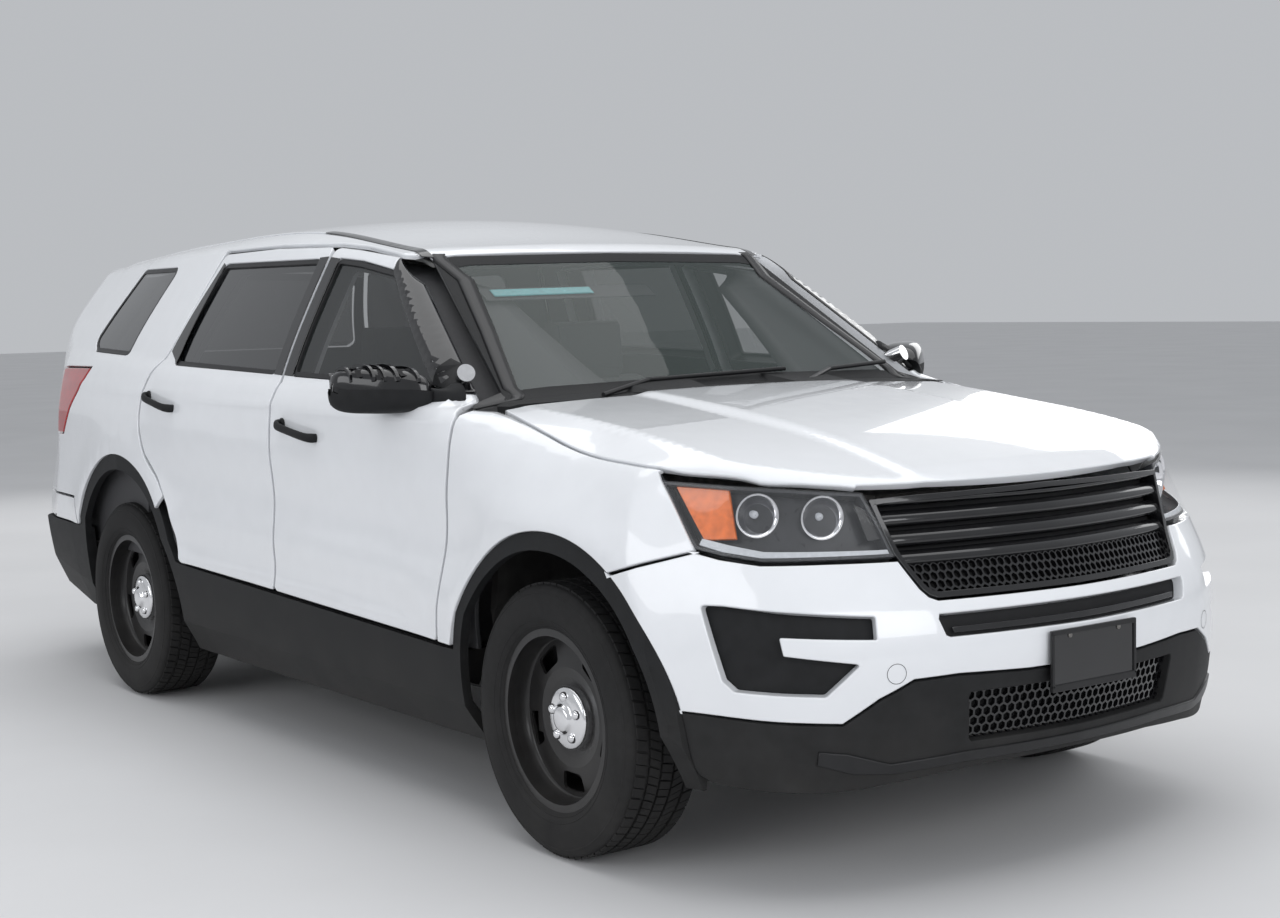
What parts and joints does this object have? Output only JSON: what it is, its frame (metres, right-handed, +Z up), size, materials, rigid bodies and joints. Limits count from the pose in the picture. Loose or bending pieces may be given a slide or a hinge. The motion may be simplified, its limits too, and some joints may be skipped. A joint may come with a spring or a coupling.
{
  "type": "police patrol utility car",
  "caption": "White police patrol utility car with black lower cladding, black steel wheels, steerable front wheels, hinged doors, hood and tailgate",
  "frame": {"origin": "ground level, centre of the car's box in plan", "axes": "+Z up; the car faces -Y; its left side is +X"},
  "size_m": [2.29, 5.062, 1.757],
  "materials": {
    "body_white": "gloss white paint",
    "floor_black": "sealed steel, satin",
    "glass_clear": "clear laminated, faint green",
    "glass_tinted": "dark privacy tint",
    "trim_black": "grained black plastic",
    "lamp_clear": "clear lens over a dark housing",
    "lamp_red": "red lens",
    "chrome": "bright",
    "wheel_black": "satin black steel",
    "tyre": "worn tread",
    "seat_cloth": "dark woven cloth",
    "cabin_plastic": "grained",
    "engine_metal": "cast, dusty",
    "chassis_steel": "dusty black"
  },
  "bodies": {
    "body": {"antenna_fin": "body_white", "body_side_left": "body_white", "body_side_right": "body_white", "cowl": "trim_black", "dashboard": "cabin_plastic", "exhaust": "chassis_steel", "fender_left": "body_white", "fender_right": "body_white", "floor_pan": "floor_black", "front_bumper": "body_white", "front_plate": "trim_black", "front_seats": "seat_cloth", "front_suspension": "chassis_steel", "fuel_tank": "chassis_steel", "grille": "trim_black", "headlamps": "lamp_clear", "lower_valance": "trim_black", "powertrain": "engine_metal", "quarter_glass": "glass_tinted", "rear_bumper": "body_white", "rear_seat": "seat_cloth", "rear_suspension": "chassis_steel", "rear_valance": "trim_black", "roof": "body_white", "sills_and_arches": "trim_black", "spot_lamp_bases": "chrome", "tail_lamps": "lamp_red", "windscreen": "glass_clear", "wipers": "trim_black"},
    "front_door_r": {"front_door_right": "body_white", "front_door_glass_right": "glass_tinted", "front_door_trim_right": "trim_black"},
    "front_door_l": {"front_door_left": "body_white", "front_door_glass_left": "glass_tinted", "front_door_trim_left": "trim_black"},
    "rear_door_r": {"rear_door_right": "body_white", "rear_door_glass_right": "glass_tinted", "rear_door_trim_right": "trim_black"},
    "rear_door_l": {"rear_door_left": "body_white", "rear_door_glass_left": "glass_tinted", "rear_door_trim_left": "trim_black"},
    "rear_gate": {"tailgate": "body_white", "tailgate_glass": "glass_tinted"},
    "hood_lid": {"hood": "body_white"},
    "knuckle_r": {"knuckle_front_right": "chassis_steel"},
    "knuckle_l": {"knuckle_front_left": "chassis_steel"},
    "wheel_front_right": {"tyre_front_right": "tyre", "rim_front_right": "wheel_black"},
    "wheel_front_left": {"tyre_front_left": "tyre", "rim_front_left": "wheel_black"},
    "wheel_rear_right": {"tyre_rear_right": "tyre", "rim_rear_right": "wheel_black"},
    "wheel_rear_left": {"tyre_rear_left": "tyre", "rim_rear_left": "wheel_black"}
  },
  "joints": [
    {"name": "steer_right", "type": "hinge", "parent": "body", "child": "knuckle_r", "pos_m": [-0.79, -1.541, 0.215], "axis": [0.2619, 0, 0.9651], "range_deg": [-33, 33]},
    {"name": "steer_left", "type": "hinge", "parent": "body", "child": "knuckle_l", "pos_m": [0.79, -1.541, 0.215], "axis": [-0.2619, 0, 0.9651], "range_deg": [-33, 33]},
    {"name": "spin_front_right", "type": "hinge", "parent": "knuckle_r", "child": "wheel_front_right", "pos_m": [-0.851, -1.541, 0.363], "axis": [-1, 0, 0], "continuous": true},
    {"name": "spin_front_left", "type": "hinge", "parent": "knuckle_l", "child": "wheel_front_left", "pos_m": [0.851, -1.541, 0.363], "axis": [-1, 0, 0], "continuous": true},
    {"name": "spin_rear_right", "type": "hinge", "parent": "body", "child": "wheel_rear_right", "pos_m": [-0.851, 1.319, 0.363], "axis": [-1, 0, 0], "continuous": true},
    {"name": "spin_rear_left", "type": "hinge", "parent": "body", "child": "wheel_rear_left", "pos_m": [0.851, 1.319, 0.363], "axis": [-1, 0, 0], "continuous": true},
    {"name": "front_door_hinge_r", "type": "hinge", "parent": "body", "child": "front_door_r", "pos_m": [-0.966, -1.125, 0.8], "axis": [0, 0, 1], "range_deg": [0, 65]},
    {"name": "rear_door_hinge_r", "type": "hinge", "parent": "body", "child": "rear_door_r", "pos_m": [-0.985, -0.008, 0.8], "axis": [0, 0, 1], "range_deg": [0, 65]},
    {"name": "front_door_hinge_l", "type": "hinge", "parent": "body", "child": "front_door_l", "pos_m": [0.966, -1.125, 0.8], "axis": [0, 0, -1], "range_deg": [0, 65]},
    {"name": "rear_door_hinge_l", "type": "hinge", "parent": "body", "child": "rear_door_l", "pos_m": [0.985, -0.008, 0.8], "axis": [0, 0, -1], "range_deg": [0, 65]},
    {"name": "gate_hinge", "type": "hinge", "parent": "body", "child": "rear_gate", "pos_m": [0, 1.99, 1.64], "axis": [1, 0, 0], "range_deg": [0, 78]},
    {"name": "hood_hinge", "type": "hinge", "parent": "body", "child": "hood_lid", "pos_m": [0, -1.11, 1.16], "axis": [-1, 0, 0], "range_deg": [0, 45]}
  ],
  "couplings": [
    {"joint": "steer_left", "follows": "steer_right", "ratio": 1}
  ]
}
